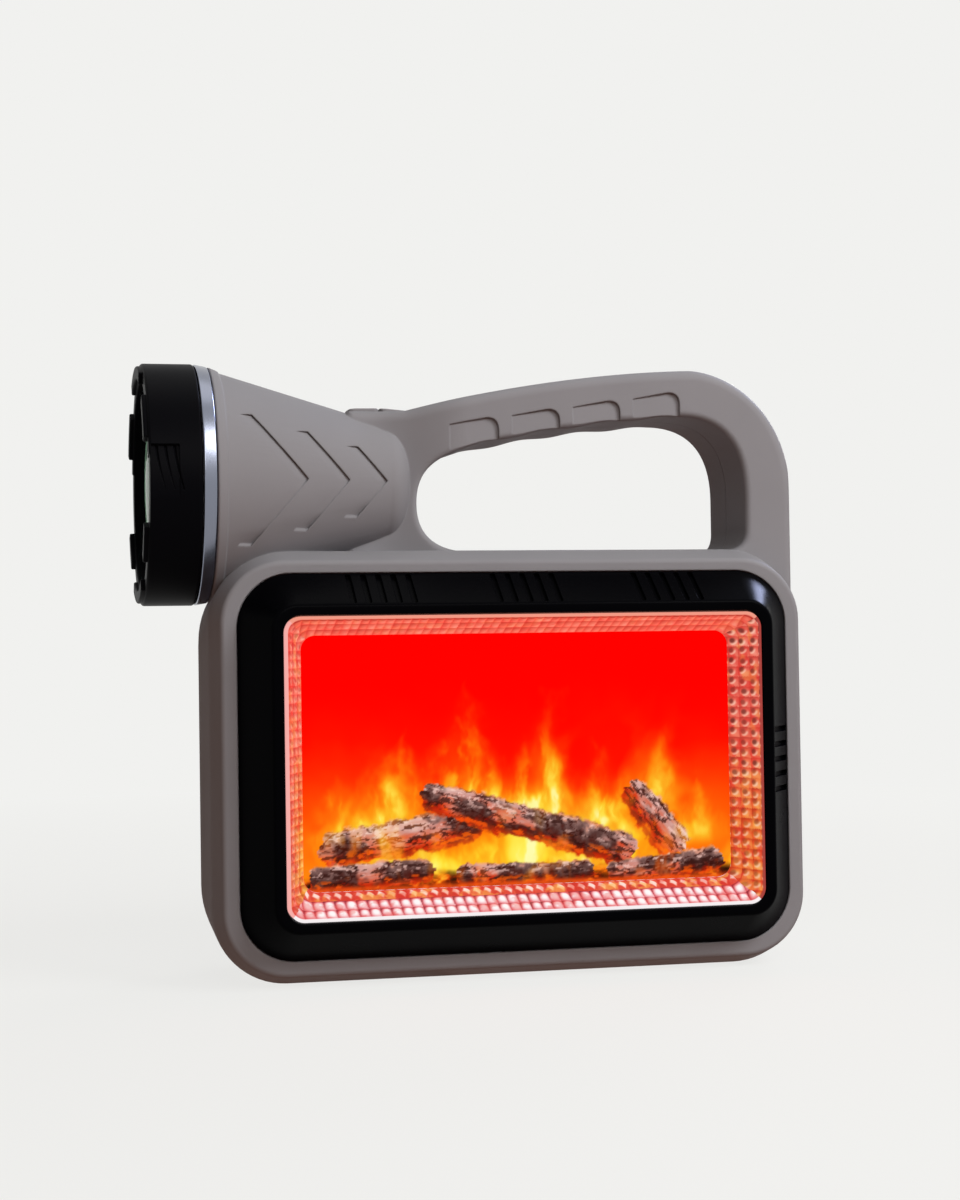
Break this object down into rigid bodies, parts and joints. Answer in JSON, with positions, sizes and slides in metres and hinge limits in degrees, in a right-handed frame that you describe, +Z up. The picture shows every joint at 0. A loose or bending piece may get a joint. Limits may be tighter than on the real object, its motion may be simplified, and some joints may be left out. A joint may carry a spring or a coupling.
{
  "type": "solar flame lamp",
  "caption": "Rechargeable hand lamp: a torch in the nose of a finger-stepped carrying handle over a deep-framed, back-lit flame picture, with a solar panel behind.",
  "frame": {"origin": "middle of the flat base, in the plane of the torch's axis and the handle", "axes": "+Z up; the flame picture faces -Y and the solar panel +Y; the torch shines towards -X"},
  "size_m": [0.2097, 0.0818, 0.1913],
  "materials": {
    "shell": "moulded warm grey plastic with a fine satin grain",
    "bezel": "polished black plastic",
    "crown": "satin black plastic",
    "chrome_trim": "bright plated trim ring",
    "mirror": "metallised reflector",
    "clear": "clear moulded plastic",
    "window": "clear moulded plastic tray",
    "soft_grey": "soft grey elastomer",
    "seal": "black foam rubber",
    "film": "printed translucent film of flames over logs",
    "white": "white translucent plastic",
    "board": "green solder mask",
    "star": "white coated metal board",
    "led": "phosphor covered chip",
    "alloy": "turned alloy",
    "solar": "dark blue cells under clear resin",
    "cell": "shrink sleeve",
    "black": "black moulded plastic",
    "steel": "plated steel",
    "lead": "insulated wire"
  },
  "bodies": {
    "housing": {"front_shell": "shell", "rear_shell": "shell", "flame_bezel": "bezel", "crown_bezel": "crown", "trim_ring": "chrome_trim", "torch_reflector": "mirror", "torch_lens": "clear", "charge_indicator": "clear", "flame_window": "window", "lens_gasket": "seal", "window_gasket": "seal", "flame_film": "film", "flame_diffuser": "white", "light_box": "white", "flame_led_board": "board", "switch_board": "board", "main_board": "board", "torch_led_board": "star", "torch_led": "led", "flame_led_1": "led", "flame_led_2": "led", "flame_led_3": "led", "flame_led_4": "led", "flame_led_5": "led", "flame_led_6": "led", "heat_sink": "alloy", "solar_panel": "solar", "battery_1": "cell", "battery_2": "cell", "battery_holder": "black", "torch_switch": "black", "flame_switch": "black", "usb_a_port": "steel", "usb_c_port": "steel", "port_cover_pin": "steel", "housing_screw_1": "steel", "housing_screw_2": "steel", "housing_screw_3": "steel", "housing_screw_4": "steel", "housing_screw_5": "steel", "housing_screw_6": "steel", "bezel_screw_1": "steel", "bezel_screw_2": "steel", "bezel_screw_3": "steel", "bezel_screw_4": "steel", "flame_board_screw_1": "steel", "flame_board_screw_2": "steel", "main_board_screw_1": "steel", "main_board_screw_2": "steel", "solar_lead": "lead"},
    "torch_key": {"torch_key": "soft_grey"},
    "flame_key": {"flame_key": "soft_grey"},
    "port_cover": {"port_cover": "soft_grey"}
  },
  "joints": [
    {"name": "torch_key_press", "type": "slide", "parent": "housing", "child": "torch_key", "axis": [0, 0, -1], "range_m": [0, 0.0008], "stiffness_N_per_m": 300, "springref_m": -0.003},
    {"name": "flame_key_press", "type": "slide", "parent": "housing", "child": "flame_key", "axis": [0, 0, -1], "range_m": [0, 0.0008], "stiffness_N_per_m": 300, "springref_m": -0.003},
    {"name": "port_cover_hinge", "type": "hinge", "parent": "housing", "child": "port_cover", "pos_m": [0.0937, 0.0132, 0.0835], "axis": [0, 0, 1], "range_deg": [0, 100]}
  ]
}
